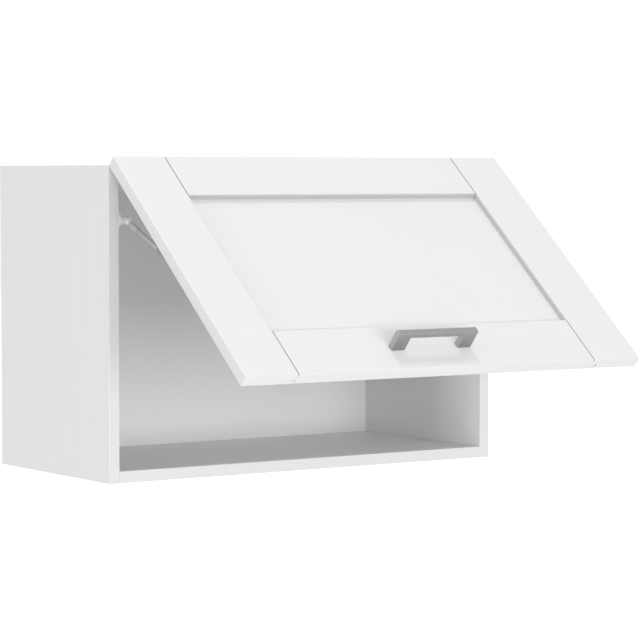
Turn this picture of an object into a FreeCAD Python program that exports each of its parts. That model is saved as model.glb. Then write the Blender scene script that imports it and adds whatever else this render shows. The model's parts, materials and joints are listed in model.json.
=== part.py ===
"""Wall cabinet with a lift-up flap, for the place over a range hood.

The origin lies midway between the two hanging holes, on the wall plane.
+X runs to the right, +Y to the wall and +Z up, so the flap is on the -Y side.
The flap stands at its open stop. All sizes are in millimetres and degrees.
"""
import FreeCAD
import Part
import Sketcher
import os
import re

# Driving dimensions: name, value, meaning
SIZES = (
    ("cabinet_width", "600", "outer width"),
    ("cabinet_height", "400", "outer height"),
    ("cabinet_depth", "290", "depth of the box without the flap"),
    ("board", "15", "thickness of the sides, top and bottom"),
    ("edge_round", "0.8", "rounding of the banded and wrapped edges"),
    ("back_board", "3", "thickness of the back panel"),
    ("back_inset", "13", "gap between the wall and the back panel"),
    ("groove_depth", "7", "depth of the grooves for the back panel"),
    ("fit_gap", "0.1", "play of a piece in its groove, bore or pilot hole"),
    ("end_gap", "0.5", "room at the end of a groove or a blind hole"),
    ("hang_drop", "45", "hanging holes below the cabinet top"),
    ("hang_inset", "25", "hanging hole from the inner face of its side"),
    ("hang_hole", "10", "diameter of a hanging hole"),
    ("hanger_height", "60", "height of a hanger"),
    ("hanger_width", "45", "width of a hanger along the wall"),
    ("hanger_steel", "2", "sheet thickness of a hanger"),
    ("hanger_screw_spacing", "36", "distance between a hanger's screws"),
    ("cam_setback", "50", "first cam behind the front edge, and last cam ahead of the rear edge"),
    ("cam_inset", "34", "cam centre from the end of its panel"),
    ("cam_diameter", "15", "diameter of a cam"),
    ("cam_depth", "12", "height of a cam"),
    ("bolt_diameter", "7", "shank of a cam bolt"),
    ("bolt_head", "6", "head of a cam bolt"),
    ("bolt_neck", "4", "neck of a cam bolt"),
    ("bolt_bite", "10", "length of a cam bolt in the side"),
    ("dowel_shift", "32", "dowel beside its cam"),
    ("dowel_diameter", "8", "diameter of a dowel"),
    ("dowel_length", "30", "length of a dowel"),
    ("dowel_bite", "11", "length of a dowel in the side"),
    ("flap_reveal", "0.5", "flap edges inside the cabinet's outline"),
    ("flap_gap", "1.5", "gap between the closed flap and the cabinet"),
    ("flap_board", "15", "thickness of the flap's frame"),
    ("open_angle", "50", "angle of the open flap from closed"),
    ("stile_width", "75", "width of the stiles"),
    ("rail_width", "75", "width of the rails"),
    ("panel_board", "4", "thickness of the flap's panel"),
    ("panel_recess", "8", "panel face behind the frame's face"),
    ("tenon", "8", "depth of the flap's grooves and length of the tenons"),
    ("handle_spacing", "96", "distance between the handle's screws"),
    ("handle_length", "120", "overall length of the handle"),
    ("handle_shift", "14", "handle's middle left of the flap's middle"),
    ("handle_rise", "36.5", "handle's middle above the flap's lower edge"),
    ("handle_leg", "20", "width of a handle leg"),
    ("handle_depth", "8", "size of the handle along the flap's height"),
    ("handle_reach", "27", "handle in front of the flap"),
    ("handle_bar", "7", "thickness of the handle's bar"),
    ("handle_round", "0.8", "rounding of the handle's corners"),
    ("handle_screw", "4", "diameter of a handle screw"),
    ("handle_screw_bite", "12", "length of a handle screw in its leg"),
    ("handle_screw_head", "8.5", "head diameter of a handle screw"),
    ("handle_screw_cap", "2.5", "head height of a handle screw"),
    ("bumper_diameter", "8", "diameter of a bumper"),
    ("bumper_height", "1.3", "thickness of a bumper"),
    ("bumper_rise", "20", "bumper above the flap's lower edge"),
    ("screw_diameter", "3.5", "diameter of the wood screws"),
    ("screw_head", "7", "head diameter of the wood screws"),
    ("screw_cap", "2", "head height of the wood screws"),
    ("screw_bite", "10", "length of a wood screw in its board"),
    ("hinge_inset", "120", "hinge from the cabinet's outer side"),
    ("cup_diameter", "34.8", "outside of a hinge cup"),
    ("cup_drop", "20.5", "cup centre below the flap's upper edge"),
    ("cup_depth", "11.5", "depth of a hinge cup"),
    ("cup_wall", "0.8", "wall of a hinge cup"),
    ("flange_rim", "1.5", "rim of the cup's flange around the cup"),
    ("flange_steel", "1", "thickness of the cup's flange"),
    ("flange_width", "58", "length of the flange's ears along the flap"),
    ("flange_height", "15", "height of the flange's ears"),
    ("cup_screw_spacing", "45", "distance between a cup's screws"),
    ("cup_screw_shift", "9.5", "cup screws below the cup's centre"),
    ("cup_pin_depth", "7.5", "pin in the cup below the flap's back face"),
    ("cup_pin_drop", "30", "pin in the cup below the flap's upper edge"),
    ("arm_pin_reach", "11", "arm pin from the flap's hinge axis"),
    ("hinge_pin", "2.5", "diameter of the hinge pins"),
    ("link_width", "5", "width of a hinge link along its pins"),
    ("link_bar", "3.6", "thickness of a hinge link"),
    ("link_eye", "4.4", "diameter of a hinge link's ends"),
    ("arm_width", "8", "width of a hinge arm"),
    ("arm_length", "54", "hinge arm behind the hinge axis"),
    ("arm_height", "7", "height of a hinge arm"),
    ("arm_nose", "2.4", "edge of a hinge arm around its pin"),
    ("arm_throat", "0.5", "upper bend of a hinge arm ahead of the hinge axis"),
    ("arm_throat_rise", "1", "upper bend of a hinge arm above the arm's flat"),
    ("arm_flat", "3", "start of a hinge arm's flat behind the hinge axis"),
    ("arm_heel", "1.5", "lower bend of a hinge arm behind the hinge axis"),
    ("arm_chin", "4.5", "chin of a hinge arm ahead of the hinge axis"),
    ("arm_chin_drop", "2.3", "chin of a hinge arm below the arm's flat"),
    ("fork_end", "1.5", "end of a hinge arm's fork ahead of the hinge axis"),
    ("plate_steel", "3", "thickness of a hinge plate"),
    ("plate_setback", "37", "hinge plate screws behind the cabinet's front"),
    ("plate_span", "48", "length of a hinge plate's wings"),
    ("plate_wing", "16", "width of a hinge plate's wings"),
    ("plate_spine", "12", "width of a hinge plate's spine"),
    ("plate_screw_spacing", "32", "distance between a plate's screws"),
    ("pivot_gap", "0.3", "gap beside a pivot that the swing leaves and meets again"),
    ("strut_setback", "8.4", "strut pivot behind the cabinet's front"),
    ("strut_drop", "69", "strut pivot below the cabinet's top"),
    ("strut_offset", "15", "strut from the inner face of the side"),
    ("strut_pin", "6", "diameter of the strut's pins"),
    ("mount_length", "46", "length of a strut mount along the side"),
    ("mount_height", "15", "height of a strut mount"),
    ("mount_plate", "3", "thickness of a strut mount's plate"),
    ("mount_nose", "7.5", "strut mount ahead of its pivot"),
    ("mount_stud", "9.5", "diameter of a strut mount's stud"),
    ("mount_cone", "5", "height of the cone at the foot of the stud"),
    ("mount_screw_spacing", "16", "strut mount's screws from the pivot and from each other"),
    ("socket_diameter", "10", "outside of a strut's socket"),
    ("socket_width", "12.5", "width of a strut's socket"),
    ("socket_neck", "7.5", "neck of a strut's socket"),
    ("ferrule_start", "12.5", "ferrule from the strut pivot"),
    ("ferrule_length", "21", "length of the ferrule"),
    ("ferrule_diameter", "8", "diameter of the ferrule"),
    ("ferrule_bite", "10", "rod in the ferrule"),
    ("rod_diameter", "6", "diameter of the strut's rod"),
    ("cylinder_diameter", "11", "outside of the strut's cylinder"),
    ("cylinder_length", "60.5", "length of the strut's cylinder"),
    ("cylinder_wall", "1.2", "wall of the strut's cylinder"),
    ("cylinder_cap", "3", "closed end of the strut's cylinder"),
    ("gland_length", "8", "gland in the cylinder"),
    ("gland_lip", "2", "gland ahead of the cylinder"),
    ("piston_length", "8", "length of the piston"),
    ("piston_rest", "1.5", "piston from the gland at the open stop"),
    ("foot_length", "14", "flap pivot to the cylinder's end"),
    ("pivot_drop", "196", "strut's flap pivot below the flap's upper edge"),
    ("pivot_standoff", "10", "strut's flap pivot behind the flap's back face"),
    ("bracket_steel", "2.5", "thickness of a flap bracket"),
    ("bracket_foot", "26", "flap bracket's foot from its ear"),
    ("bracket_height", "34", "height of a flap bracket's foot"),
    ("bracket_ear", "16", "width of a flap bracket's ear"),
    ("bracket_stub", "3", "length of the flap bracket's stub"),
    ("bracket_screw_spacing", "18", "distance between a bracket's screws"),
)
NAMES = {name for name, value, meaning in SIZES}

AXIS_X = FreeCAD.Vector(1, 0, 0)
AXIS_Y = FreeCAD.Vector(0, 1, 0)
AXIS_Z = FreeCAD.Vector(0, 0, 1)
SIDES = (("left", -1), ("right", 1))

doc = FreeCAD.newDocument("hood_cabinet")
sheet = doc.addObject("Spreadsheet::Sheet", "Sizes")
for row, (name, value, meaning) in enumerate(SIZES, 1):
    sheet.set(f"A{row}", value)
    sheet.setAlias(f"A{row}", name)
    sheet.set(f"B{row}", meaning)
doc.recompute()

nodes = {}


# Helpers for bound sizes and places

def formula(text):
    """Point the names of sizes in an expression at their cells in the sheet."""
    return re.sub(r"[a-z_]+", lambda word: "Sizes." + word[0] if word[0] in NAMES else word[0], text)


def value_of(text):
    """Work out an expression as a plain number."""
    result = sheet.evalExpression(formula(text))
    return float(getattr(result, "Value", result))


def bind(item, path, text):
    """Bind one property of a document object to an expression."""
    item.setExpression(path, formula(text))


def place(item, x="0", y="0", z="0", axis=AXIS_X, turn="0"):
    """Bind the place of an object, turned about one axis."""
    item.Placement = FreeCAD.Placement(FreeCAD.Vector(), FreeCAD.Rotation(axis, 1))
    for letter, text in zip("xyz", (x, y, z)):
        bind(item, f"Placement.Base.{letter}", text)
    bind(item, "Placement.Rotation.Angle", turn)
    return item


def node(label, item):
    """Name an object as one sub-part of the cabinet."""
    item.Label = label
    nodes[label] = item
    return item


# Helpers for solids

def block(x, y, z):
    """A box between pairs of low and high expressions."""
    item = doc.addObject("Part::Box", "block")
    for size, (low, high) in zip(("Length", "Width", "Height"), (x, y, z)):
        bind(item, size, f"({high}) - ({low})")
    return place(item, x[0], y[0], z[0])


def along(item, axis, start, across):
    """Lay an object that is built on +Z along X, Y or Z, from start, at the two other coordinates."""
    if axis == "X":
        return place(item, start, across[0], across[1], AXIS_Y, "90")
    if axis == "Y":
        return place(item, across[0], start, across[1], AXIS_X, "-90")
    return place(item, across[0], across[1], start)


def pin(axis, low, high, across, diameter):
    """A cylinder from low to high along an axis."""
    item = doc.addObject("Part::Cylinder", "pin")
    bind(item, "Radius", f"({diameter}) / 2")
    bind(item, "Height", f"({high}) - ({low})")
    return along(item, axis, low, across)


def taper(axis, low, high, across, first, last):
    """A cone from its first to its last diameter along an axis."""
    item = doc.addObject("Part::Cone", "taper")
    bind(item, "Radius1", f"({first}) / 2")
    bind(item, "Radius2", f"({last}) / 2")
    bind(item, "Height", f"({high}) - ({low})")
    return along(item, axis, low, across)


def joined(pieces):
    """One solid out of several that meet."""
    item = doc.addObject("Part::MultiFuse", "joined")
    item.Shapes = pieces
    item.Refine = True
    return item


def less(blank, cutters):
    """A blank with cutters taken out of it."""
    item = doc.addObject("Part::Cut", "less")
    item.Base = blank
    item.Tool = joined(cutters) if len(cutters) > 1 else cutters[0]
    return item


def group(pieces):
    """Like pieces that stay separate solids."""
    item = doc.addObject("Part::Compound", "group")
    item.Links = pieces
    return item


def outline(body, plane, points, start="0"):
    """A closed sketch through points that are bound to expressions, on one of the body's planes."""
    sketch = body.newObject("Sketcher::SketchObject", "outline")
    support = next(item for item in body.Origin.OriginFeatures if item.Role == plane)
    sketch.AttachmentSupport = (support, "")
    sketch.MapMode = "FlatFace"
    bind(sketch, "AttachmentOffset.Base.z", start)
    corners = [FreeCAD.Vector(value_of(across), value_of(up), 0) for across, up in points]
    count = len(points)
    for index, corner in enumerate(corners):
        sketch.addGeometry(Part.LineSegment(corner, corners[(index + 1) % count]), False)
    for index in range(count):
        sketch.addConstraint(Sketcher.Constraint("Coincident", index, 2, (index + 1) % count, 1))
    for index, (across, up) in enumerate(points):
        for kind, text in (("DistanceX", across), ("DistanceY", up)):
            if text == "0":
                axis = -2 if kind == "DistanceX" else -1
                sketch.addConstraint(Sketcher.Constraint("PointOnObject", index, 1, axis))
                continue
            rule = Sketcher.Constraint(kind, -1, 1, index, 1, value_of(text))
            bind(sketch, f"Constraints[{sketch.addConstraint(rule)}]", text)
    return sketch


def pad(body, plane, points, start, length):
    """Add a profile that runs from start over a length, square to its plane."""
    feature = body.newObject("PartDesign::Pad", "pad")
    feature.Profile = outline(body, plane, points, start)
    bind(feature, "Length", length)
    return body


def profile(plane, points, start, length):
    """A body with one padded profile."""
    return pad(doc.addObject("PartDesign::Body", "body"), plane, points, start, length)


def turned(points):
    """A body of revolution about its Z axis, from radius and height pairs."""
    body = doc.addObject("PartDesign::Body", "turned")
    feature = body.newObject("PartDesign::Revolution", "turn")
    sketch = outline(body, "XZ_Plane", points)
    feature.Profile = sketch
    feature.ReferenceAxis = (sketch, ["V_Axis"])
    feature.Angle = 360
    return body


def soften(body, radius, wanted):
    """Round the edges of a body's last feature whose two ends pass a test."""
    doc.recompute()
    tip = body.Tip
    edges = []
    for index, edge in enumerate(tip.Shape.Edges, 1):
        ends = [vertex.Point for vertex in edge.Vertexes]
        if len(ends) == 2 and wanted(ends[0], ends[1]):
            edges.append(f"Edge{index}")
    feature = body.newObject("PartDesign::Fillet", "soft_edges")
    feature.Base = (tip, edges)
    bind(feature, "Radius", radius)
    return body


def both_at(letter, text):
    """A test for edges that lie at one coordinate."""
    level = value_of(text)
    return lambda first, last: all(abs(getattr(end, letter) - level) < 1e-6 for end in (first, last))


# Places that several pieces share

FRONT = "(-cabinet_depth)"
TOP = "(hang_drop)"
BOTTOM = "(hang_drop - cabinet_height)"
INNER = "(cabinet_width / 2 - board)"
AXIS_BACK = "(-cabinet_depth - flap_gap)"
AXIS_UP = "(hang_drop - flap_reveal)"
FLAP_HALF = "(cabinet_width / 2 - flap_reveal)"
FLAP_HEIGHT = "(cabinet_height - 2 * flap_reveal)"
SHOULDER = "(cabinet_width / 2 - flap_reveal - stile_width)"
STRUT_X = "(cabinet_width / 2 - board - strut_offset)"
STRUT_Y = "(strut_setback + flap_gap)"
STRUT_Z = "(flap_reveal - strut_drop)"
PIVOT_Y = "(pivot_standoff * cos(open_angle) - pivot_drop * sin(open_angle))"
PIVOT_Z = "(-pivot_drop * cos(open_angle) - pivot_standoff * sin(open_angle))"
STRUT_ANGLE = f"atan2({STRUT_Y} - {PIVOT_Y}; {STRUT_Z} - {PIVOT_Z})"
STRUT_LENGTH = f"hypot({STRUT_Y} - {PIVOT_Y}; {STRUT_Z} - {PIVOT_Z})"
CUP_PIN_ANGLE = "atan2(cup_pin_depth; cup_pin_drop)"
CUP_PIN_RADIUS = "hypot(cup_pin_depth; cup_pin_drop)"
CUP_PIN_Y = f"(-{CUP_PIN_RADIUS} * sin({CUP_PIN_ANGLE} + open_angle * 1 deg))"
CUP_PIN_Z = f"(-{CUP_PIN_RADIUS} * cos({CUP_PIN_ANGLE} + open_angle * 1 deg))"
ARM_PIN_Y = f"(-arm_pin_reach * sin({CUP_PIN_ANGLE} + open_angle * 1 deg / 2))"
ARM_PIN_Z = f"(-arm_pin_reach * cos({CUP_PIN_ANGLE} + open_angle * 1 deg / 2))"
LINK_ANGLE = f"atan2({ARM_PIN_Y} - {CUP_PIN_Y}; {ARM_PIN_Z} - {CUP_PIN_Z})"
LINK_LENGTH = f"hypot({ARM_PIN_Y} - {CUP_PIN_Y}; {ARM_PIN_Z} - {CUP_PIN_Z})"
HINGE_X = "(cabinet_width / 2 - hinge_inset)"
PLATE_Z = "(hang_drop - board - plate_steel)"


def on_flap(item):
    """Set an object that is built about the hinge axis, flap closed, to the open flap."""
    return place(item, "0", AXIS_BACK, AXIS_UP, AXIS_X, "-open_angle")


def on_strut(item, sign):
    """Set an object that is built about the strut's cabinet pivot, hanging down, to the strut."""
    x = f"{sign} * {STRUT_X}"
    return place(item, x, f"{AXIS_BACK} + {STRUT_Y}", f"{AXIS_UP} + {STRUT_Z}", AXIS_X, f"-{STRUT_ANGLE}")


def on_pivot(item, sign):
    """Set an object that is built about the strut's flap pivot, hanging down, to the strut."""
    x = f"{sign} * {STRUT_X}"
    return place(item, x, f"{AXIS_BACK} + {PIVOT_Y}", f"{AXIS_UP} + {PIVOT_Z}", AXIS_X, f"-{STRUT_ANGLE}")


def reach(sign, near, far):
    """A span along X on one side of the cabinet, from its distances to the middle."""
    return (near, far) if sign > 0 else (f"-({far})", f"-({near})")


def wood_screw(axis, seat, into, across):
    """A pan head on its seat and a shank that runs on, into = 1 or -1 along the axis."""
    if into > 0:
        head = pin(axis, f"{seat} - screw_cap", seat, across, "screw_head")
        shank = pin(axis, seat, f"{seat} + screw_bite", across, "screw_diameter")
    else:
        head = pin(axis, seat, f"{seat} + screw_cap", across, "screw_head")
        shank = pin(axis, f"{seat} - screw_bite", seat, across, "screw_diameter")
    return joined([head, shank])


def pilot(axis, seat, into, across):
    """The hole for a wood screw's shank, a little deeper than the shank."""
    length = "(screw_bite + end_gap)"
    low, high = (seat, f"{seat} + {length}") if into > 0 else (f"{seat} - {length}", seat)
    return pin(axis, low, high, across, "screw_diameter + 2 * fit_gap")


# Joinery of the box: for each corner, cams and dowels near the front and near the rear

CAM_ROWS = (
    (f"({FRONT} + cam_setback)", f"({FRONT} + cam_setback + dowel_shift)"),
    ("(-cam_setback)", "(-cam_setback - dowel_shift)"),
)
LEVELS = (
    ("top", f"({TOP} - board / 2)", f"({TOP} - cam_depth)", TOP),
    ("bottom", f"({BOTTOM} + board / 2)", BOTTOM, f"({BOTTOM} + cam_depth)"),
)
CAM_X = f"({INNER} - cam_inset)"


def cam_bolt(sign, y, z):
    """A bolt with its head in the cam, a neck, a plain shank and the end in the side."""
    head = pin("X", *reach(sign, f"{CAM_X} - bolt_head / 2", f"{CAM_X} + bolt_head / 2"), (y, z), "bolt_head")
    neck = pin("X", *reach(sign, f"{CAM_X} + bolt_head / 2", f"{CAM_X} + cam_diameter / 2"), (y, z), "bolt_neck")
    shank = pin("X", *reach(sign, f"{CAM_X} + cam_diameter / 2", INNER), (y, z), "bolt_diameter")
    bite = pin("X", *reach(sign, INNER, f"{INNER} + bolt_bite"), (y, z), "bolt_head")
    return joined([head, neck, shank, bite])


def cam_lock(sign, y, z, low, high):
    """A round cam with a pocket for the bolt's head and a slot for its neck."""
    blank = pin("Z", low, high, (f"{sign} * {CAM_X}", y), "cam_diameter")
    half_head = "(bolt_head / 2 + fit_gap)"
    half_neck = "(bolt_neck / 2 + fit_gap)"
    pocket = block(
        reach(sign, f"{CAM_X} - {half_head}", f"{CAM_X} + {half_head}"),
        (f"{y} - {half_head}", f"{y} + {half_head}"),
        (f"{z} - {half_head}", f"{z} + {half_head}"),
    )
    slot = block(
        reach(sign, CAM_X, f"{CAM_X} + cam_diameter"),
        (f"{y} - {half_neck}", f"{y} + {half_neck}"),
        (f"{z} - {half_neck}", f"{z} + {half_neck}"),
    )
    return less(blank, [pocket, slot])


def make_joinery():
    """Dowels, cam bolts and cams at the four corners of the box."""
    dowels = []
    bolts = []
    cams = []
    for side, sign in SIDES:
        for level, middle, low, high in LEVELS:
            for cam_y, dowel_y in CAM_ROWS:
                bolts.append(cam_bolt(sign, cam_y, middle))
                cams.append(cam_lock(sign, cam_y, middle, low, high))
                span = reach(sign, f"{INNER} + dowel_bite - dowel_length", f"{INNER} + dowel_bite")
                dowels.append(pin("X", *span, (dowel_y, middle), "dowel_diameter"))
    node("dowels", group(dowels))
    node("cam_bolts", group(bolts))
    node("cam_locks", group(cams))


# The box

GROOVE_FRONT = "(-back_inset - back_board - fit_gap)"
GROOVE_REAR = "(fit_gap - back_inset)"


def make_side(side, sign):
    """A side with a groove for the back panel and bores for dowels, bolts and screws."""
    outer = f"{sign} * cabinet_width / 2"
    inner = f"{sign} * {INNER}"
    floor = f"{sign} * ({INNER} + groove_depth)"
    section = [
        (outer, FRONT), (inner, FRONT), (inner, GROOVE_FRONT), (floor, GROOVE_FRONT),
        (floor, GROOVE_REAR), (inner, GROOVE_REAR), (inner, "0"), (outer, "0"),
    ]
    blank = soften(profile("XY_Plane", section, BOTTOM, "cabinet_height"), "edge_round", both_at("y", FRONT))
    bores = []
    for level, middle, low, high in LEVELS:
        for cam_y, dowel_y in CAM_ROWS:
            span = reach(sign, INNER, f"{INNER} + bolt_bite + end_gap")
            bores.append(pin("X", *span, (cam_y, middle), "bolt_head + 2 * fit_gap"))
            span = reach(sign, INNER, f"{INNER} + dowel_bite + end_gap")
            bores.append(pin("X", *span, (dowel_y, middle), "dowel_diameter + 2 * fit_gap"))
    seat = f"{sign} * {INNER}"
    bores += [pilot("X", seat, sign, across) for across in mount_screw_places() + hanger_screw_places()]
    node(f"side_panel_{side}", less(blank, bores))


def make_level(level, middle, low, high):
    """The top or the bottom, between the sides, with its groove, cam bores and end bores."""
    panel_low, panel_high = (f"{TOP} - board", TOP) if level == "top" else (BOTTOM, f"{BOTTOM} + board")
    inside, floor = (
        (panel_low, f"{panel_low} + groove_depth") if level == "top"
        else (panel_high, f"{panel_high} - groove_depth")
    )
    outside = panel_high if level == "top" else panel_low
    section = [
        (FRONT, outside), (FRONT, inside), (GROOVE_FRONT, inside), (GROOVE_FRONT, floor),
        (GROOVE_REAR, floor), (GROOVE_REAR, inside), ("0", inside), ("0", outside),
    ]
    front_edges = both_at("y", FRONT)
    long_front = lambda first, last: front_edges(first, last) and abs(first.x - last.x) > 1
    body = profile("YZ_Plane", section, f"-{INNER}", f"2 * {INNER}")
    blank = soften(body, "edge_round", long_front)
    bores = []
    for side, sign in SIDES:
        for cam_y, dowel_y in CAM_ROWS:
            across = (f"{sign} * {CAM_X}", cam_y)
            bores.append(pin("Z", low, high, across, "cam_diameter + 2 * fit_gap"))
            span = reach(sign, CAM_X, INNER)
            bores.append(pin("X", *span, (cam_y, middle), "bolt_diameter + 2 * fit_gap"))
            span = reach(sign, f"{INNER} + dowel_bite - dowel_length - end_gap", INNER)
            bores.append(pin("X", *span, (dowel_y, middle), "dowel_diameter + 2 * fit_gap"))
    if level == "top":
        bores += [pilot("Z", panel_low, 1, across) for across in plate_screw_places()]
    node(f"{level}_panel", less(blank, bores))


def make_back():
    """The thin back panel, standing in the grooves of the four boards."""
    half = f"({INNER} + groove_depth - end_gap)"
    node("back_panel", block(
        (f"-{half}", half),
        ("-back_inset - back_board", "-back_inset"),
        (f"{BOTTOM} + board - groove_depth + end_gap", f"{TOP} - board + groove_depth - end_gap"),
    ))


# Hangers in the gap behind the back panel

HANGER_SCREW_Y = "(-back_inset / 2)"


def hanger_screw_places():
    """Where the hangers' screws enter a side, as Y and Z."""
    return [(HANGER_SCREW_Y, f"{end} * hanger_screw_spacing / 2") for end in (-1, 1)]


def make_hangers():
    """Steel angles, one leg on the side and one with the hanging hole on the wall plane."""
    screws = []
    for side, sign in SIDES:
        height = ("-hanger_height / 2", "hanger_height / 2")
        side_leg = block(
            reach(sign, f"{INNER} - hanger_steel", INNER), ("fit_gap - back_inset", "0"), height)
        wall_leg = block(reach(sign, f"{INNER} - hanger_width", INNER), ("-hanger_steel", "0"), height)
        hole = pin("Y", "-back_inset", "back_inset", (f"{sign} * ({INNER} - hang_inset)", "0"), "hang_hole")
        seat = f"{sign} * ({INNER} - hanger_steel)"
        bores = [pin("X", *reach(sign, f"{INNER} - 2 * hanger_steel", f"{INNER} + hanger_steel"), across,
                     "screw_diameter + 2 * fit_gap") for across in hanger_screw_places()]
        node(f"hanger_{side}", less(joined([side_leg, wall_leg]), [hole] + bores))
        screws += [wood_screw("X", seat, sign, across) for across in hanger_screw_places()]
    node("hanger_screws", group(screws))


# The flap, built about the hinge axis as if closed: Y runs from the back face to the front, Z down

PANEL_FRONT = "(panel_recess - flap_board)"
PANEL_BACK = "(panel_recess + panel_board - flap_board)"
GROOVE_FACE = f"({PANEL_FRONT} - fit_gap)"
GROOVE_BACK = f"({PANEL_BACK} + fit_gap)"


def make_stile(side, sign):
    """An upright of the flap's frame, grooved along its inner edge."""
    outer = f"{sign} * {FLAP_HALF}"
    inner = f"{sign} * {SHOULDER}"
    floor = f"{sign} * ({SHOULDER} + tenon)"
    section = [
        (outer, "-flap_board"), (inner, "-flap_board"), (inner, GROOVE_FACE), (floor, GROOVE_FACE),
        (floor, GROOVE_BACK), (inner, GROOVE_BACK), (inner, "0"), (outer, "0"),
    ]
    body = profile("XY_Plane", section, f"-{FLAP_HEIGHT}", FLAP_HEIGHT)
    blank = soften(body, "edge_round", both_at("y", "-flap_board"))
    x = f"{sign} * {BRACKET_SCREW_X}"
    bores = [pilot("Y", "0", -1, (x, z)) for z in BRACKET_SCREW_Z]
    node(f"stile_{side}", on_flap(less(blank, bores)))


def make_rail(label, outside, inside, toward, bores):
    """A cross piece of the flap's frame, with a groove along its inner edge and a tenon at each end."""
    floor = f"{inside} + ({toward}) * tenon"
    section = [
        ("-flap_board", outside), ("-flap_board", inside), (GROOVE_FACE, inside), (GROOVE_FACE, floor),
        (GROOVE_BACK, floor), (GROOVE_BACK, inside), ("0", inside), ("0", outside),
    ]
    body = profile("YZ_Plane", section, f"-{SHOULDER}", f"2 * {SHOULDER}")
    at_front = both_at("y", "-flap_board")
    at_outside = both_at("z", outside)
    end_edges = lambda first, last: at_outside(first, last) and abs(first.x - last.x) < 1
    soften(body, "edge_round", lambda first, last: at_front(first, last) or end_edges(first, last))
    tongue = [
        (PANEL_FRONT, f"{outside} - ({toward}) * 2 * edge_round"), (PANEL_FRONT, floor),
        (PANEL_BACK, floor), (PANEL_BACK, f"{outside} - ({toward}) * 2 * edge_round"),
    ]
    half = f"({SHOULDER} + tenon - end_gap)"
    pad(body, "YZ_Plane", tongue, f"-{half}", f"2 * {half}")
    node(label, on_flap(less(body, bores)))


def make_flap_panel():
    """The flat panel in the grooves of the frame."""
    half = f"({SHOULDER} + tenon - end_gap)"
    upper = "(-rail_width + tenon - end_gap)"
    lower = f"(-{FLAP_HEIGHT} + rail_width - tenon + end_gap)"
    section = [(f"-{half}", PANEL_FRONT), (half, PANEL_FRONT), (half, PANEL_BACK), (f"-{half}", PANEL_BACK)]
    node("flap_panel", on_flap(profile("XY_Plane", section, lower, f"{upper} - {lower}")))


# Handle on the lower rail

HANDLE_X = "(-handle_shift)"
HANDLE_Z = f"(-{FLAP_HEIGHT} + handle_rise)"


def handle_screw_x():
    """Where the handle's two screws stand along the rail."""
    return [f"{HANDLE_X} + {sign} * handle_spacing / 2" for side, sign in SIDES]


def make_handle():
    """A square bow with two broad legs and a thin bar, and its screws through the rail."""
    foot = "(-flap_board)"
    face = "(-flap_board - handle_reach)"
    under = "(-flap_board - handle_reach + handle_bar)"
    left = f"{HANDLE_X} - handle_length / 2"
    right = f"{HANDLE_X} + handle_length / 2"
    section = [
        (left, foot), (left, face), (right, face), (right, foot),
        (f"{right} - handle_leg", foot), (f"{right} - handle_leg", under),
        (f"{left} + handle_leg", under), (f"{left} + handle_leg", foot),
    ]
    body = profile("XY_Plane", section, f"{HANDLE_Z} - handle_depth / 2", "handle_depth")
    at_face = both_at("y", face)
    blank = soften(body, "handle_round", lambda first, last: at_face(first, last))
    bores = []
    screws = []
    for x in handle_screw_x():
        tip = f"{foot} - handle_screw_bite"
        across = (x, HANDLE_Z)
        bores.append(pin("Y", f"{tip} - end_gap", foot, across, "handle_screw + 2 * fit_gap"))
        shank = pin("Y", tip, "0", across, "handle_screw")
        screws.append(joined([shank, pin("Y", "0", "handle_screw_cap", across, "handle_screw_head")]))
    node("handle", on_flap(less(blank, bores)))
    node("handle_screws", on_flap(group(screws)))


def make_bumpers():
    """Soft dots on the flap's back, where its lower corners meet the sides."""
    z = f"(-{FLAP_HEIGHT} + bumper_rise)"
    x = "(cabinet_width / 2 - board / 2)"
    dots = [pin("Y", "0", "bumper_height", (f"{sign} * {x}", z), "bumper_diameter") for side, sign in SIDES]
    node("bumpers", on_flap(group(dots)))


# Concealed hinges

CUP_SCREW_Z = "(-cup_drop - cup_screw_shift)"
ARM_TOP = f"({PLATE_Z} - {AXIS_UP})"


def plate_screw_places():
    """Where the hinge plates' screws enter the top, as X and Y."""
    places = []
    for side, sign in SIDES:
        for end in (-1, 1):
            places.append((f"{sign} * {HINGE_X} + {end} * plate_screw_spacing / 2", f"{FRONT} + plate_setback"))
    return places


def cup_screw_places():
    """Where the cups' screws enter the upper rail, as X and Z."""
    places = []
    for side, sign in SIDES:
        places += [(f"{sign} * {HINGE_X} + {end} * cup_screw_spacing / 2", CUP_SCREW_Z) for end in (-1, 1)]
    return places


def cup_bores():
    """The round recesses for the cups and the pilot holes for their screws, in the upper rail."""
    bores = []
    for side, sign in SIDES:
        across = (f"{sign} * {HINGE_X}", "-cup_drop")
        bores.append(pin("Y", "-cup_depth - fit_gap", "fit_gap", across, "cup_diameter + 2 * fit_gap"))
    return bores + [pilot("Y", "0", -1, across) for across in cup_screw_places()]


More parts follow.
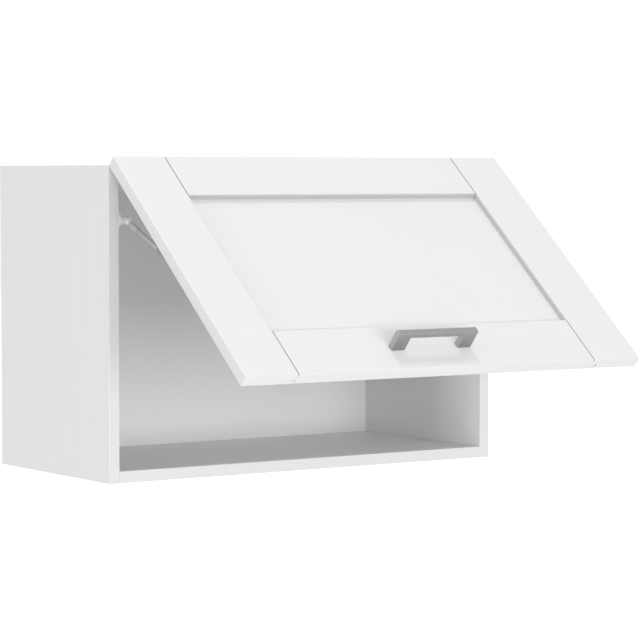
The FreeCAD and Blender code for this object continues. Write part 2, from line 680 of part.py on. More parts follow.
def make_cup(side, sign):
    """A pressed cup with a flange, two ears for screws and a stub of pin on each side of the link."""
    x = f"{sign} * {HINGE_X}"
    centre = (x, "-cup_drop")
    rim = pin("Y", "0", "flange_steel", centre, "cup_diameter + 2 * flange_rim")
    ears = block(
        (f"{x} - flange_width / 2", f"{x} + flange_width / 2"), ("0", "flange_steel"),
        (f"{CUP_SCREW_Z} - flange_height / 2", f"{CUP_SCREW_Z} + flange_height / 2"))
    shell = pin("Y", "-cup_depth", "flange_steel", centre, "cup_diameter")
    hollow = pin("Y", "cup_wall - cup_depth", "2 * flange_steel", centre, "cup_diameter - 2 * cup_wall")
    bores = [pin("Y", "-flange_steel", "2 * flange_steel", (f"{x} + {end} * cup_screw_spacing / 2", CUP_SCREW_Z),
                 "screw_diameter + 2 * fit_gap") for end in (-1, 1)]
    pressed = less(joined([rim, ears, shell]), [hollow] + bores)
    wall = "sqrt(pow((cup_diameter - cup_wall) / 2; 2) - pow(cup_pin_drop - cup_drop + hinge_pin / 2; 2))"
    gap = "(link_width / 2 + pivot_gap)"
    across = ("-cup_pin_depth", "-cup_pin_drop")
    stubs = [
        pin("X", f"{x} + {gap}", f"{x} + {wall}", across, "hinge_pin"),
        pin("X", f"{x} - {wall}", f"{x} - {gap}", across, "hinge_pin"),
    ]
    node(f"hinge_cup_{side}", on_flap(joined([pressed] + stubs)))


def at_hinge(item, sign):
    """Set an object that is built about the flap's axis, in the cabinet's attitude, to one hinge."""
    return place(item, f"{sign} * {HINGE_X}", AXIS_BACK, AXIS_UP)


def make_arm(side, sign):
    """A cranked arm under its plate, forked at the nose for the link."""
    nose_front = f"{ARM_PIN_Y} - arm_nose"
    nose_rear = f"{ARM_PIN_Y} + arm_nose"
    nose_top = f"{ARM_PIN_Z} + arm_nose"
    low = f"{ARM_TOP} - arm_height"
    chin = f"{ARM_TOP} - arm_chin_drop"
    section = [
        (nose_front, nose_top), (nose_rear, nose_top), ("-arm_throat", f"{ARM_TOP} + arm_throat_rise"),
        ("arm_flat", ARM_TOP), ("arm_length", ARM_TOP), ("arm_length", low),
        ("arm_heel", low), ("-arm_chin", chin),
    ]
    body = profile("YZ_Plane", section, "-arm_width / 2", "arm_width")
    half_fork = "(link_width / 2 + pivot_gap)"
    across = (ARM_PIN_Y, ARM_PIN_Z)
    fork = block(
        (f"-{half_fork}", half_fork),
        (f"{ARM_PIN_Y} - link_eye", "-fork_end"), (f"{chin} - link_eye", f"{nose_top} + link_eye"))
    bore = pin("X", "-arm_width", "arm_width", across, "hinge_pin + 2 * fit_gap")
    node(f"hinge_arm_{side}", at_hinge(less(body, [fork, bore]), sign))
    return at_hinge(group([pin("X", "-arm_width / 2", "arm_width / 2", across, "hinge_pin")]), sign)


def make_link(side, sign):
    """A link from the arm's pin to the stubs in the cup, hanging down before it is turned."""
    half = ("-link_width / 2", "link_width / 2")
    bar = block(half, ("-link_bar / 2", "link_bar / 2"), (f"-{LINK_LENGTH}", "0"))
    eye = pin("X", *half, ("0", "0"), "link_eye")
    end = pin("X", *half, ("0", f"-{LINK_LENGTH}"), "link_eye")
    bore = pin("X", "-link_width", "link_width", ("0", "0"), "hinge_pin + 2 * fit_gap")
    link = less(joined([bar, eye, end]), [bore])
    node(f"hinge_link_{side}", place(
        link, f"{sign} * {HINGE_X}", f"{AXIS_BACK} + {ARM_PIN_Y}", f"{AXIS_UP} + {ARM_PIN_Z}",
        AXIS_X, f"-{LINK_ANGLE}"))


def make_plate(side, sign):
    """A plate with two wings under the top, which carries the arm."""
    x = f"{sign} * {HINGE_X}"
    y = f"({FRONT} + plate_setback)"
    height = (PLATE_Z, f"{PLATE_Z} + plate_steel")
    spine = block(
        (f"{x} - plate_spine / 2", f"{x} + plate_spine / 2"),
        (f"{y} - plate_wing", f"{y} + plate_wing"), height)
    wings = block(
        (f"{x} - plate_span / 2", f"{x} + plate_span / 2"),
        (f"{y} - plate_wing / 2", f"{y} + plate_wing / 2"), height)
    bores = [pin("Z", f"{PLATE_Z} - plate_steel", f"{PLATE_Z} + 2 * plate_steel",
                 (f"{x} + {end} * plate_screw_spacing / 2", y), "screw_diameter + 2 * fit_gap") for end in (-1, 1)]
    node(f"hinge_plate_{side}", less(joined([spine, wings]), bores))


def make_hinges():
    """Both hinges with their pins and screws."""
    pins = []
    for side, sign in SIDES:
        make_cup(side, sign)
        pins.append(make_arm(side, sign))
        make_link(side, sign)
        make_plate(side, sign)
    node("hinge_pins", group(pins))
    node("hinge_screws", group([wood_screw("Z", PLATE_Z, 1, across) for across in plate_screw_places()]))
    screws = [wood_screw("Y", "flange_steel", -1, across) for across in cup_screw_places()]
    node("cup_screws", on_flap(group(screws)))


# Lift struts

MOUNT_Y = f"({AXIS_BACK} + {STRUT_Y})"
MOUNT_Z = f"({AXIS_UP} + {STRUT_Z})"
EAR_X = f"({STRUT_X} - socket_width / 2 - pivot_gap - bracket_stub)"
BRACKET_SCREW_X = f"({EAR_X} - bracket_foot / 2)"
BRACKET_SCREW_Z = ("(-pivot_drop - bracket_screw_spacing / 2)", "(-pivot_drop + bracket_screw_spacing / 2)")


def mount_screw_places():
    """Where a strut mount's screws enter its side, as Y and Z."""
    return [(f"{MOUNT_Y} + {count} * mount_screw_spacing", MOUNT_Z) for count in (1, 2)]


def make_mounts():
    """Moulded mounts on the sides, each with a coned stud and a pin for the strut's socket."""
    screws = []
    stud_end = f"({STRUT_X} + socket_width / 2 + pivot_gap)"
    seat = f"({INNER} - mount_plate)"
    for side, sign in SIDES:
        across = (MOUNT_Y, MOUNT_Z)
        plate = block(
            reach(sign, seat, INNER), (f"{MOUNT_Y} - mount_nose", f"{MOUNT_Y} - mount_nose + mount_length"),
            (f"{MOUNT_Z} - mount_height / 2", f"{MOUNT_Z} + mount_height / 2"))
        stud = pin("X", *reach(sign, stud_end, INNER), across, "mount_stud")
        ends = ("mount_stud", "mount_height") if sign > 0 else ("mount_height", "mount_stud")
        cone = taper("X", *reach(sign, f"{seat} - mount_cone", seat), across, *ends)
        axle = pin("X", *reach(sign, f"{STRUT_X} - socket_width / 2", INNER), across, "strut_pin")
        bores = [pin("X", *reach(sign, f"{seat} - mount_plate", INNER), place_of_screw,
                     "screw_diameter + 2 * fit_gap") for place_of_screw in mount_screw_places()]
        node(f"strut_mount_{side}", less(joined([plate, cone, stud, axle]), bores))
        screws += [wood_screw("X", f"{sign} * {seat}", sign, place) for place in mount_screw_places()]
    node("mount_screws", group(screws))


def make_rod_half(side, sign):
    """The half of a strut that swings on the cabinet: socket, ferrule, rod and piston."""
    half = ("-socket_width / 2", "socket_width / 2")
    head = pin("X", *half, ("0", "0"), "socket_diameter")
    neck = pin("Z", "-ferrule_start", "0", ("0", "0"), "socket_neck")
    bore = pin("X", "-socket_width", "socket_width", ("0", "0"), "strut_pin + 2 * fit_gap")
    node(f"strut_socket_{side}", on_strut(less(joined([head, neck]), [bore]), sign))

    top = "(-ferrule_start)"
    low = "(-ferrule_start - ferrule_length)"
    bite = f"({low} + ferrule_bite)"
    hole = "(rod_diameter / 2 + fit_gap)"
    shoulder = f"({low} + ferrule_bite / 2)"
    node(f"strut_ferrule_{side}", on_strut(turned([
        ("0", top), ("ferrule_diameter / 2", top), ("ferrule_diameter / 2", shoulder),
        (f"{hole} + cylinder_wall / 2", low), (hole, low), (hole, bite), ("0", bite),
    ]), sign))

    gland_end = f"({STRUT_LENGTH} - foot_length - cylinder_length + gland_length)"
    rod_end = f"({gland_end} + piston_rest + piston_length)"
    rod_top = f"({bite} - end_gap)"
    node(f"strut_rod_{side}", on_strut(turned([
        ("0", rod_top), ("rod_diameter / 2", rod_top),
        ("rod_diameter / 2", f"-{rod_end}"), ("0", f"-{rod_end}"),
    ]), sign))
    bore_radius = "(rod_diameter / 2 + fit_gap)"
    piston_radius = "(cylinder_diameter / 2 - cylinder_wall - fit_gap)"
    node(f"strut_piston_{side}", on_strut(turned([
        (bore_radius, f"piston_length - {rod_end}"), (piston_radius, f"piston_length - {rod_end}"),
        (piston_radius, f"-{rod_end}"), (bore_radius, f"-{rod_end}"),
    ]), sign))


def make_cylinder_half(side, sign):
    """The half of a strut that follows the flap: foot, cylinder and gland, built up from the flap pivot."""
    half = ("-socket_width / 2", "socket_width / 2")
    eye = pin("X", *half, ("0", "0"), "socket_diameter")
    neck = pin("Z", "0", "foot_length", ("0", "0"), "socket_neck")
    node(f"strut_foot_{side}", on_pivot(joined([eye, neck]), sign))

    outer = "(cylinder_diameter / 2)"
    inner = "(cylinder_diameter / 2 - cylinder_wall)"
    mouth = "(foot_length + cylinder_length)"
    floor = "(foot_length + cylinder_cap)"
    node(f"strut_cylinder_{side}", on_pivot(turned([
        ("0", "foot_length"), (f"{outer} - cylinder_wall", "foot_length"),
        (outer, "foot_length + cylinder_wall"), (outer, mouth), (inner, mouth), (inner, floor), ("0", floor),
    ]), sign))
    bore = "(rod_diameter / 2 + fit_gap)"
    snug = f"({inner} - fit_gap)"
    node(f"strut_gland_{side}", on_pivot(turned([
        (bore, f"{mouth} - gland_length"), (snug, f"{mouth} - gland_length"), (snug, mouth), (outer, mouth),
        (f"{outer} - gland_lip / 2", f"{mouth} + gland_lip"), (bore, f"{mouth} + gland_lip"),
    ]), sign))


def make_brackets():
    """Steel angles on the flap's back, each with an ear and a stub beside the strut's foot."""
    screws = []
    for side, sign in SIDES:
        ear_span = reach(sign, f"{EAR_X} - bracket_steel", EAR_X)
        foot_span = reach(sign, f"{EAR_X} - bracket_foot", EAR_X)
        foot = block(
            foot_span, ("0", "bracket_steel"),
            ("-pivot_drop - bracket_height / 2", "-pivot_drop + bracket_height / 2"))
        ear = block(
            ear_span, ("0", "pivot_standoff"),
            ("-pivot_drop - bracket_ear / 2", "-pivot_drop + bracket_ear / 2"))
        across = ("pivot_standoff", "-pivot_drop")
        tip = pin("X", *ear_span, across, "bracket_ear")
        stub = pin("X", *reach(sign, EAR_X, f"{EAR_X} + bracket_stub"), across, "strut_pin")
        places = [(f"{sign} * {BRACKET_SCREW_X}", z) for z in BRACKET_SCREW_Z]
        bores = [pin("Y", "-bracket_steel", "2 * bracket_steel", place_of_screw, "screw_diameter + 2 * fit_gap")
                 for place_of_screw in places]
        node(f"flap_bracket_{side}", on_flap(less(joined([foot, ear, tip, stub]), bores)))
        screws += [wood_screw("Y", "bracket_steel", -1, place_of_screw) for place_of_screw in places]
    node("bracket_screws", on_flap(group(screws)))


# Build every sub-part

for side, sign in SIDES:
    make_side(side, sign)
for level in LEVELS:
    make_level(*level)
make_back()
make_joinery()
make_hangers()
for side, sign in SIDES:
    make_stile(side, sign)
make_rail("top_rail", "0", "(-rail_width)", "1", cup_bores())
handle_bores = [pin("Y", "-2 * flap_board", "flap_board", (x, HANDLE_Z), "handle_screw + 2 * fit_gap")
                for x in handle_screw_x()]
make_rail("bottom_rail", f"(-{FLAP_HEIGHT})", f"(rail_width - {FLAP_HEIGHT})", "-1", handle_bores)
make_flap_panel()
make_handle()
make_bumpers()
make_hinges()
make_mounts()
make_brackets()
for side, sign in SIDES:
    make_rod_half(side, sign)
    make_cylinder_half(side, sign)
doc.recompute()

# Refuse a failed object before anything is written
for item in doc.Objects:
    if "Invalid" in item.State or "Error" in item.State:
        raise RuntimeError(f"{item.Name} failed: {item.State}")
for label, item in nodes.items():
    if item.Shape.isNull() or not item.Shape.isValid() or not item.Shape.Solids:
        raise RuntimeError(f"{label} has no valid solid")

os.makedirs("parts", exist_ok=True)
for label, item in nodes.items():
    item.Shape.exportStep(f"parts/{label}.step")
print(len(nodes), "sub-parts written")
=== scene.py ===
"""Looks and studio for a white wall cabinet with a lift-up flap.

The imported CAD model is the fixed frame. Boards, flap, handle, hinges and struts keep their CAD shapes
and get worked finishes here. Screws, cams and soft dots are made anew, and the hinges get adjusters.
Lengths are in metres, in the frame of the CAD model.
"""
import json
import math

import bmesh
import bpy
from bpy.props import FloatProperty, FloatVectorProperty, IntProperty, PointerProperty
from mathutils import Matrix, Vector


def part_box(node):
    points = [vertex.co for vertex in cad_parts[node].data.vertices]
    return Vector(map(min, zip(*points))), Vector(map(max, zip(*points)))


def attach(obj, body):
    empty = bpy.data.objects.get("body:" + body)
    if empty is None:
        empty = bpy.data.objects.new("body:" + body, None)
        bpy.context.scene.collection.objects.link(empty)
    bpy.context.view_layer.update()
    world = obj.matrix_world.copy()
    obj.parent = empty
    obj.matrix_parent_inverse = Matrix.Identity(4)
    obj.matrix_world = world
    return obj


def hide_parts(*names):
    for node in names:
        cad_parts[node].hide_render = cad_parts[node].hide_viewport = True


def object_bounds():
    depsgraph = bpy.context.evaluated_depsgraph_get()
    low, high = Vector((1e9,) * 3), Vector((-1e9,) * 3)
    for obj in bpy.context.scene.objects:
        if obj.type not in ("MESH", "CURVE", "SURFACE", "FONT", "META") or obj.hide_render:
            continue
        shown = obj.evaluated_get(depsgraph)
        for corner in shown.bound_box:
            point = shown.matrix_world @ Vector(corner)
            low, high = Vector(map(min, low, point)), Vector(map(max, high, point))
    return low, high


bl_info = {
    "name": "Lift-up wall cabinet",
    "version": (1, 0, 0),
    "blender": (4, 5, 0),
    "location": "View3D > Sidebar > Cabinet",
    "description": "Finishes, fittings and studio for a wall cabinet with a lift-up flap",
    "category": "Object",
}

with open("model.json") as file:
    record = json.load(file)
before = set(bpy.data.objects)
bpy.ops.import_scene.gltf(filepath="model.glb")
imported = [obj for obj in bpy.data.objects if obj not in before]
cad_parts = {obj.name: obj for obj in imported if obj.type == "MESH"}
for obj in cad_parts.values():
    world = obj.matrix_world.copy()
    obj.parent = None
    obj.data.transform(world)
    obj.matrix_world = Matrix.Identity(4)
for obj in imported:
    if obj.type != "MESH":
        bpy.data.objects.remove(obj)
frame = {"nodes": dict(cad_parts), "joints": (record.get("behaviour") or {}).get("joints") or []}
CAD_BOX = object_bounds()
NODES = frame["nodes"]
SIDES = ("left", "right")
UP = Vector((0, 0, 1))
DOWN = Vector((0, 0, -1))
WHITE = (1, 1, 1, 1)

# The flap's place at rest, from its joint
FLAP_HINGE = {joint["name"]: joint for joint in frame["joints"]}["flap_hinge"]
FLAP_AXIS = Vector(FLAP_HINGE["pos_m"])
OPEN_ANGLE = -math.radians(FLAP_HINGE["range_deg"][0])
FLAP_OUT = Vector((0, -math.cos(OPEN_ANGLE), math.sin(OPEN_ANGLE)))

# Points closer than the first are one point, and points as near an end as the second lie in its face
SAME_POINT = 1e-6
END_FACE = 1e-5


# Shapes read from the CAD nodes

def solids_of(node):
    """The separate solids of a CAD node, each as a list of its corner points."""
    work = bmesh.new()
    work.from_mesh(NODES[node].data)
    bmesh.ops.remove_doubles(work, verts=work.verts, dist=SAME_POINT)
    work.verts.ensure_lookup_table()
    seen = [False] * len(work.verts)
    found = []
    for first in work.verts:
        if seen[first.index]:
            continue
        seen[first.index] = True
        waiting, points = [first], []
        while waiting:
            vert = waiting.pop()
            points.append(vert.co.copy())
            for edge in vert.link_edges:
                other = edge.other_vert(vert)
                if not seen[other.index]:
                    seen[other.index] = True
                    waiting.append(other)
        found.append(points)
    work.free()
    return found


def end_of(points, axis):
    """Middle of the face where a solid ends along an axis."""
    reach = max(point.dot(axis) for point in points)
    ring = [point for point in points if point.dot(axis) > reach - END_FACE]
    return sum(ring, Vector()) / len(ring)


def flap_local(point):
    """A point in the flap's own directions: across, behind its back face, above its upper edge."""
    return Matrix.Rotation(OPEN_ANGLE, 3, "X") @ (point - FLAP_AXIS)


def flap_span(node, direction):
    """Lowest and highest place of a CAD node along one of the flap's own directions."""
    values = [flap_local(vert.co)[direction] for vert in NODES[node].data.vertices]
    return min(values), max(values)


# Places that finishes start from; those on the flap are in its own directions
DEPTH, HEIGHT = 1, 2
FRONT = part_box("side_panel_left")[0].y
FLAP_FACE = flap_span("stile_left", DEPTH)[0]
PANEL_FACE = flap_span("flap_panel", DEPTH)[0]
PANEL_TOP = flap_span("top_rail", HEIGHT)[0]
PANEL_LOW = flap_span("bottom_rail", HEIGHT)[1]


# Node trees written as Python calls

class Wire:
    """An output socket that takes part in sums."""

    def __init__(self, net, socket):
        self.net = net
        self.socket = socket

    def math(self, operation, first, second=None):
        """A math node on one or two values."""
        return self.net.make("ShaderNodeMath", {0: first, 1: second}, operation=operation)

    def __add__(self, other):
        return self.math("ADD", self, other)

    def __radd__(self, other):
        return self.math("ADD", other, self)

    def __sub__(self, other):
        return self.math("SUBTRACT", self, other)

    def __rsub__(self, other):
        return self.math("SUBTRACT", other, self)

    def __mul__(self, other):
        return self.math("MULTIPLY", self, other)

    def __rmul__(self, other):
        return self.math("MULTIPLY", other, self)

    def __abs__(self):
        return self.math("ABSOLUTE", self)

    def atop(self, other):
        """The larger of two values."""
        return self.math("MAXIMUM", self, other)

    def rise(self, low, high):
        """0 up to low, 1 from high, and smooth between; low above high turns it round."""
        return self.net.make(
            "ShaderNodeMapRange",
            {"Value": self, "From Min": low, "From Max": high, "To Min": 0.0, "To Max": 1.0},
            interpolation_type="SMOOTHSTEP")

    def near(self, place, full, gone):
        """1 up to one distance from a place, and 0 from a greater one on."""
        return abs(self - place).rise(gone, full)

    def output(self, name):
        """Another output of the same node."""
        return Wire(self.net, self.socket.node.outputs[name])


class Net:
    """A node tree that grows by calls."""

    def __init__(self, tree):
        self.tree = tree

    def make(self, kind, inputs=None, out=0, **settings):
        """Add a node, set it up, give its sockets values or links, and hand on one output.

        A list links each of its members to the same socket, and None leaves a socket as it is.
        """
        node = self.tree.nodes.new(kind)
        for key, value in settings.items():
            setattr(node, key, value)
        for key, value in (inputs or {}).items():
            for part in value if isinstance(value, list) else [value]:
                if isinstance(part, Wire):
                    self.tree.links.new(part.socket, node.inputs[key])
                elif part is not None:
                    node.inputs[key].default_value = part
        return Wire(self, node.outputs[out]) if node.outputs else node

    def blend(self, share, first, second):
        """One colour going over into another."""
        return self.make(
            "ShaderNodeMix", {"Factor": share, 6: first, 7: second}, out=2,
            data_type="RGBA", clamp_factor=True)

    def ramp(self, share, stops):
        """Colours met one after another as a share rises."""
        colours = self.make("ShaderNodeValToRGB", {"Fac": share})
        elements = colours.socket.node.color_ramp.elements
        while len(elements) < len(stops):
            elements.new(1)
        for element, (place, colour) in zip(elements, stops):
            element.position = place
            element.color = colour
        return colours

    def vector(self, **parts):
        """Up to three numbers as one vector."""
        return self.make("ShaderNodeCombineXYZ", parts)

    def moved(self, mesh, **shift):
        """Geometry moved along X, Y or Z."""
        return self.make(
            "GeometryNodeTransform", {"Geometry": mesh, "Translation": self.vector(**shift)})


class Finish(Net):
    """A material on Object coordinates."""

    def __init__(self, name):
        self.material = bpy.data.materials.new(name)
        self.material.use_nodes = True
        super().__init__(self.material.node_tree)
        self.tree.nodes.clear()
        self.point = self.make("ShaderNodeTexCoord", out="Object")
        self.normal = None

    def axis(self, name):
        """One of the three coordinates."""
        return self.make("ShaderNodeSeparateXYZ", {"Vector": self.point}, out=name)

    def flap_depth(self):
        """Depth behind the flap's back face, negative on the flap."""
        back, up = self.axis("Y") - FLAP_AXIS.y, self.axis("Z") - FLAP_AXIS.z
        return back * math.cos(OPEN_ANGLE) - up * math.sin(OPEN_ANGLE)

    def flap_height(self):
        """Height above the flap's upper edge, negative on the flap."""
        back, up = self.axis("Y") - FLAP_AXIS.y, self.axis("Z") - FLAP_AXIS.z
        return back * math.sin(OPEN_ANGLE) + up * math.cos(OPEN_ANGLE)

    def stretched(self, scale, turn=0.0):
        """The coordinates turned about X and scaled apart."""
        return self.make(
            "ShaderNodeMapping", {"Vector": self.point, "Rotation": (turn, 0, 0), "Scale": scale})

    def noise(self, scale, detail=2.0, where=None, rough=0.5):
        """Soft noise from 0 to 1."""
        return self.make(
            "ShaderNodeTexNoise",
            {"Vector": where or self.point, "Scale": scale, "Detail": detail, "Roughness": rough})

    def grain(self, scale, detail, turn=0.0, rough=0.5):
        """Noise with a scale for each axis, for wood grain, brush lines and rub marks."""
        return self.noise(1.0, detail, self.stretched(scale, turn), rough)

    def cells(self, scale, where=None):
        """Cells with a random tone each."""
        colour = self.make(
            "ShaderNodeTexVoronoi", {"Vector": where or self.point, "Scale": scale}, out="Color")
        return self.make("ShaderNodeSeparateColor", {"Color": colour})

    def tones(self, share, colour, dark, light):
        """A colour going over from a darker share of itself into a lighter one."""
        return self.blend(share, opaque(colour, dark), opaque(colour, light))

    def bump(self, height, strength, distance):
        """Add a bump on top of those before it."""
        self.normal = self.make(
            "ShaderNodeBump",
            {"Height": height, "Strength": strength, "Distance": distance, "Normal": self.normal})

    def done(self, colour, rough, **fixed):
        """Close the material: colour, roughness and bumps may vary, the other sockets are fixed numbers."""
        inputs = {"Base Color": colour, "Roughness": rough, "Normal": self.normal}
        inputs.update({name.replace("_", " "): value for name, value in fixed.items()})
        shader = self.make("ShaderNodeBsdfPrincipled", inputs)
        self.make("ShaderNodeOutputMaterial", {"Surface": shader})
        return self.material


# Finishes

# Browns of raw boards, each with its place on a ramp
CHIP_BROWNS = ((0.1, (0.25, 0.15, 0.07, 1)), (0.5, (0.5, 0.35, 0.19, 1)), (0.9, (0.68, 0.53, 0.34, 1)))
FIBRE_BROWNS = ((0.2, (0.2, 0.115, 0.055, 1)), (0.8, (0.36, 0.225, 0.115, 1)))


def opaque(colour, share):
    """A colour with full alpha, made darker or lighter by a share."""
    return (colour[0] * share, colour[1] * share, colour[2] * share, 1)


def chipboard(finish):
    """Colour of a raw chipboard edge: pressed flakes of several browns."""
    flakes = finish.cells(420.0, finish.stretched((1.0, 1.0, 0.45)))
    fine = finish.noise(2600.0, detail=3.0)
    return finish.ramp(flakes * 0.7 + fine * 0.3, CHIP_BROWNS)


def board_finish(name, colour):
    """White melamine with a fine pearl, faint upright grain, an edge band line and a raw rear edge."""
    finish = Finish(name)
    band_depth, line_core, line_rim = 0.0011, 0.00008, 0.00022
    rear, raw_skin, white_skin = CAD_BOX[1].y, 0.0003, 0.0005
    grain = finish.grain((260.0, 260.0, 5.0), detail=3.0)
    cloud = finish.noise(9.0)
    pearl = finish.noise(1500.0)
    band = (finish.axis("Y") - FRONT).near(band_depth, line_core, line_rim)
    raw = finish.axis("Y").rise(rear - white_skin, rear - raw_skin)
    face = finish.tones(grain * 0.7 + cloud * 0.3, colour, dark=0.975, light=1.015)
    face = finish.blend(band, face, opaque(colour, 0.8))
    shade = finish.blend(raw, face, chipboard(finish))
    finish.bump(pearl, strength=0.12, distance=0.00006)
    finish.bump(band, strength=0.3, distance=-0.0001)
    finish.bump(raw * pearl, strength=0.5, distance=0.0003)
    return finish.done(shade, 0.4 + cloud * 0.08 + raw * 0.4)


def back_finish(name, colour):
    """Hardboard: white lacquer inside, brown pressed fibre on the side to the wall."""
    finish = Finish(name)
    rear, raw_skin, white_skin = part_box("back_panel")[1].y, 0.0008, 0.0012
    fibre = finish.noise(700.0, detail=4.0, where=finish.stretched((1.0, 1.0, 1.6)))
    screen = finish.cells(620.0)
    brown = finish.ramp(fibre * 0.75 + screen * 0.25, FIBRE_BROWNS)
    raw = finish.axis("Y").rise(rear - white_skin, rear - raw_skin)
    cloud = finish.noise(7.0)
    white = finish.tones(cloud, colour, dark=0.985, light=1.01)
    shade = finish.blend(raw, white, brown)
    finish.bump(fibre, strength=0.1, distance=0.00008)
    finish.bump(raw * screen, strength=0.6, distance=0.00025)
    return finish.done(shade, 0.38 + cloud * 0.06 + raw * 0.4)


def foil_finish(name, look):
    """Matt white foil with dark joints, and painted shade that darkens its left and right edges and the
    rims and walls round the panel.
    """
    finish = Finish(name)
    depth, height, aside = finish.flap_depth(), finish.flap_height(), abs(finish.axis("X"))
    outer_edge, inner_edge = (-corner.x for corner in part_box("stile_left"))
    fade, rounding = 0.0004, 0.0008
    wall_start, wall_full = FLAP_FACE + 0.0009, FLAP_FACE + 0.0015
    wall_foot, wall_end = PANEL_FACE - 0.0007, PANEL_FACE - 0.0003
    joint_reach, joint_full, joint_end = 0.0006, FLAP_FACE + 0.002, FLAP_FACE + 0.003
    inside = aside.rise(inner_edge + rounding + fade, inner_edge + rounding)
    inside = inside * height.rise(PANEL_TOP + rounding + fade, PANEL_TOP + rounding)
    inside = inside * height.rise(PANEL_LOW + fade, PANEL_LOW + rounding)
    # Painted shade on the rims round the panel
    rim = inside * depth.rise(wall_full, wall_start)
    # Painted shade on the walls beside and above the panel
    wall = inside * depth.rise(wall_start, wall_full) * depth.rise(wall_end, wall_foot)
    on_top_rail = height.rise(PANEL_TOP - joint_reach, PANEL_TOP)
    on_low_rail = height.rise(PANEL_LOW + joint_reach, PANEL_LOW)
    joint = aside.near(inner_edge, fade, rounding) * (on_top_rail + on_low_rail)
    joint = joint * depth.rise(joint_end, joint_full)
    # Painted shade on the flap's left and right edge faces
    edge = aside.rise(outer_edge - fade, outer_edge - fade / 4)
    cloud = finish.noise(8.0)
    pearl = finish.noise(1900.0)
    shade = finish.tones(cloud, look.foil, dark=0.99, light=1.01)
    shade = finish.blend(edge, shade, opaque(look.foil, look.painted_shade_edge_share))
    shade = finish.blend(rim, shade, opaque(look.foil, look.painted_shade_rim_share))
    shade = finish.blend(wall, shade, opaque(look.foil, look.painted_shade_wall_share))
    shade = finish.blend(joint, shade, opaque(look.foil, look.joint_share))
    finish.bump(pearl, strength=0.08, distance=0.00005)
    return finish.done(shade, 0.46 + cloud * 0.06)


def brushed_finish(name, look, size):
    """Steel brushed along X for a bow handle, with painted light that makes its ends and the inner faces of
    its legs paler.
    """
    finish = Finish(name)
    low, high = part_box("handle")
    half = (high.x - low.x) / 2
    core, skin = 0.0002, 0.0006
    dark, light = 0.82, 1.12
    under_bar = flap_span("handle", DEPTH)[0] + size.handle_bar
    aside = abs(finish.axis("X") - (low.x + high.x) / 2)
    # Painted light on the ends and on the inner faces of the legs
    inner = aside.near(half - size.handle_leg, core, skin)
    inner = inner * finish.flap_depth().rise(under_bar, under_bar + skin)
    painted_light = inner.atop(aside.rise(half - skin, half - core))
    lines = finish.grain((18.0, 2600.0, 2600.0), detail=4.0, turn=OPEN_ANGLE, rough=0.65)
    cloud = finish.noise(60.0)
    brushed = finish.tones(lines, look.handle, dark, light)
    pale = finish.tones(lines, look.handle, dark * look.painted_light_end_share, light * look.painted_light_end_share)
    shade = finish.blend(painted_light, brushed, pale)
    finish.bump(lines, strength=0.18, distance=0.00004)
    return finish.done(shade, 0.3 + lines * 0.14 + cloud * 0.06, Metallic=1.0)


def plated_finish(name, colour, rough_low, spangle):
    """Plated steel: soft spangle, faint rub marks and a little dulling."""
    finish = Finish(name)
    patch = finish.cells(spangle)
    cloud = finish.noise(140.0, detail=3.0)
    rub = finish.grain((90.0, 1400.0, 1400.0), detail=3.0)
    shade = finish.tones(patch * 0.5 + cloud * 0.5, colour, dark=0.86, light=1.08)
    finish.bump(rub, strength=0.06, distance=0.00003)
    finish.bump(cloud, strength=0.08, distance=0.00006)
    return finish.done(shade, rough_low + cloud * 0.14 + rub * 0.06, Metallic=1.0)


def moulded_finish(name, colour, rough_low, coat=0.0):
    """Moulded plastic with a fine eroded texture."""
    finish = Finish(name)
    pits = finish.noise(1100.0, detail=3.0)
    cloud = finish.noise(45.0)
    shade = finish.tones(cloud * 0.7 + pits * 0.3, colour, dark=0.95, light=1.04)
    finish.bump(pits, strength=0.15, distance=0.00005)
    return finish.done(shade, rough_low + pits * 0.1 + cloud * 0.05, Coat_Weight=coat)


def paint_finish(name, colour):
    """Satin paint with orange peel."""
    finish = Finish(name)
    peel = finish.noise(520.0)
    cloud = finish.noise(30.0)
    shade = finish.tones(cloud, colour, dark=0.95, light=1.05)
    finish.bump(peel, strength=0.1, distance=0.0001)
    return finish.done(shade, 0.3 + cloud * 0.08, Coat_Weight=0.2)


def rod_finish(name, colour):
    """Satin rod with faint marks from sliding."""
    finish = Finish(name)
    marks = finish.grain((900.0, 30.0, 30.0), detail=3.0)
    shade = finish.tones(marks, colour, dark=0.94, light=1.04)
    finish.bump(marks, strength=0.04, distance=0.00002)
    return finish.done(shade, 0.4 + marks * 0.1, Metallic=0.1)


def beech_finish(name, colour):
    """Beech with short flecks along X."""
    finish = Finish(name)
    grain = finish.grain((40.0, 900.0, 900.0), detail=4.0)
    fleck = finish.grain((260.0, 1500.0, 1500.0), detail=2.0)
    shade = finish.tones(grain * 0.7 + fleck * 0.3, colour, dark=0.78, light=1.12)
    finish.bump(grain, strength=0.25, distance=0.0001)
    return finish.done(shade, 0.6 + grain * 0.15)


def soft_dot_finish(name, colour):
    """Clear soft plastic, a little cloudy."""
    finish = Finish(name)
    cloud = finish.noise(400.0)
    shade = finish.tones(cloud, colour, dark=0.95, light=1.03)
    finish.bump(cloud, strength=0.05, distance=0.00005)
    return finish.done(shade, 0.2 + cloud * 0.15, Transmission_Weight=0.45, IOR=1.41)


def wear(material, *names):
    """Give CAD nodes a finish."""
    for name in names:
        obj = NODES[name]
        if not obj.material_slots:
            obj.data.materials.append(material)
        for slot in obj.material_slots:
            slot.material = material


# Pieces that repeat, grown by Geometry Nodes

SMOOTH_ANGLE = math.radians(38)
HEAD_SIDES = 32
SHANK_SIDES = 16
CAM_SIDES = 40
DOT_SIDES = 40

# A screw head's skirt as a share of its height, and the rise and narrowing of each step of its dome
HEAD_SKIRT = 0.3
HEAD_DOME = ((0.3, 0.95), (0.22, 0.87), (0.18, 0.68))

